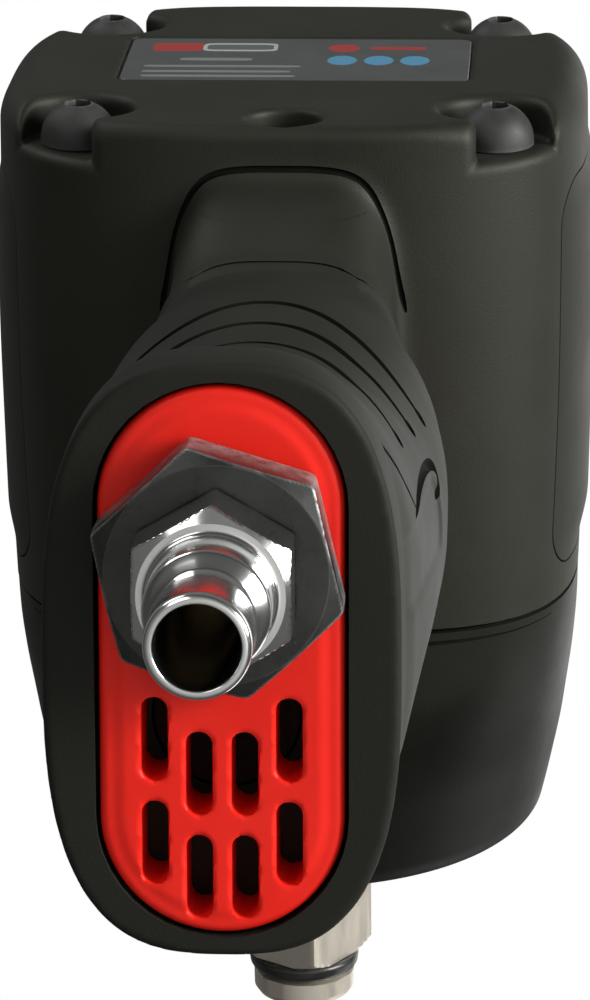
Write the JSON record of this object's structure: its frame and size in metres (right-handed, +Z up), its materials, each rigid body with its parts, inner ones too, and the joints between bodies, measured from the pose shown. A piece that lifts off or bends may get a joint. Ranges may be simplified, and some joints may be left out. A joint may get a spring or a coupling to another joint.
{
  "type": "air impact wrench",
  "caption": "Compact half-inch pneumatic impact wrench with a raked pistol grip, hose plug in the base, slotted exhaust insert and a square drive.",
  "frame": {"origin": "centre of the square drive's end face", "axes": "+X forward along the spindle and out of the drive, +Z up from the handle to the motor, +Y to the left of someone holding it"},
  "size_m": [0.1321, 0.0726, 0.2182],
  "materials": {
    "composite": "fine-grained moulded composite, charcoal black",
    "rubber": "soft black overmould",
    "case_paint": "cast, with a satin black coating",
    "red_plastic": "red moulding, half gloss",
    "chrome": "bright plated",
    "black_steel": "blackened",
    "nickel": "nickel-plated, warm grey",
    "steel": "ground",
    "aluminium": "machined",
    "brass": "turned",
    "vane_resin": "resin-bonded laminate",
    "felt": "grey felt",
    "label": "dark grey film, no lettering",
    "gasket": "fibre sheet"
  },
  "bodies": {
    "housing": {"motor_housing": "composite", "rear_cover": "composite", "hammer_case": "case_paint", "rear_gasket": "gasket", "side_pad_left": "rubber", "side_pad_right": "rubber", "handle_grip": "rubber", "exhaust_cover": "red_plastic", "inlet_bushing": "black_steel", "inlet_nipple": "chrome", "inlet_screen": "brass", "muffler": "felt", "valve_seat": "brass", "throttle_spring": "steel", "spring_retainer": "brass", "label_plate": "label", "cylinder_liner": "steel", "front_end_plate": "aluminium", "rear_end_plate": "aluminium", "anvil_bush": "brass", "anvil_seal": "rubber", "cover_screw_1": "black_steel", "cover_screw_2": "black_steel", "cover_screw_3": "black_steel", "cover_screw_4": "black_steel", "front_bearing_outer_race": "steel", "rear_bearing_outer_race": "steel"},
    "trigger_body": {"trigger": "red_plastic", "trigger_rod": "steel"},
    "valve_body": {"throttle_valve": "brass"},
    "reverse_body": {"reverse_button": "red_plastic"},
    "regulator_body": {"power_regulator": "nickel"},
    "spindle_body": {"rotor": "steel", "vane_1": "vane_resin", "vane_2": "vane_resin", "vane_3": "vane_resin", "vane_4": "vane_resin", "vane_5": "vane_resin", "vane_6": "vane_resin", "front_bearing_inner_race": "steel", "rear_bearing_inner_race": "steel", "front_bearing_ball_cage": "brass", "rear_bearing_ball_cage": "brass", "hammer_frame": "steel", "upper_hammer_pin": "steel", "lower_hammer_pin": "steel"},
    "rear_hammer_body": {"rear_hammer": "steel"},
    "front_hammer_body": {"front_hammer": "steel"},
    "anvil_body": {"anvil": "nickel", "friction_ring": "black_steel"}
  },
  "joints": [
    {"name": "trigger_slide", "type": "slide", "parent": "housing", "child": "trigger_body", "axis": [-0.994, 0, 0.1097], "range_m": [0, 0.003], "stiffness_N_per_m": 900, "springref_m": -0.004},
    {"name": "valve_tilt", "type": "hinge", "parent": "housing", "child": "valve_body", "pos_m": [-0.10616, 0, -0.08566], "axis": [0, -1, 0], "range_deg": [0, 7]},
    {"name": "reverse_slide", "type": "slide", "parent": "housing", "child": "reverse_body", "axis": [0, 1, 0], "range_m": [-0.0022, 0.0022]},
    {"name": "regulator_turn", "type": "hinge", "parent": "housing", "child": "regulator_body", "pos_m": [-0.119, 0, -0.03], "axis": [1, 0, 0], "range_deg": [0, 270]},
    {"name": "spindle_spin", "type": "hinge", "parent": "housing", "child": "spindle_body", "pos_m": [-0.0895, 0, 0], "axis": [1, 0, 0], "continuous": true},
    {"name": "rear_hammer_rock", "type": "hinge", "parent": "spindle_body", "child": "rear_hammer_body", "pos_m": [-0.05195, 0, 0.02], "axis": [1, 0, 0], "range_deg": [-4.5, 4.5]},
    {"name": "front_hammer_rock", "type": "hinge", "parent": "spindle_body", "child": "front_hammer_body", "pos_m": [-0.04275, 0, -0.02], "axis": [1, 0, 0], "range_deg": [-4.5, 4.5]},
    {"name": "anvil_spin", "type": "hinge", "parent": "housing", "child": "anvil_body", "pos_m": [-0.028, 0, 0], "axis": [1, 0, 0], "continuous": true}
  ],
  "couplings": [
    {"joint": "valve_tilt", "follows": "trigger_slide", "rad_per_m": 38.3},
    {"joint": "anvil_spin", "follows": "spindle_spin", "ratio": 1}
  ]
}
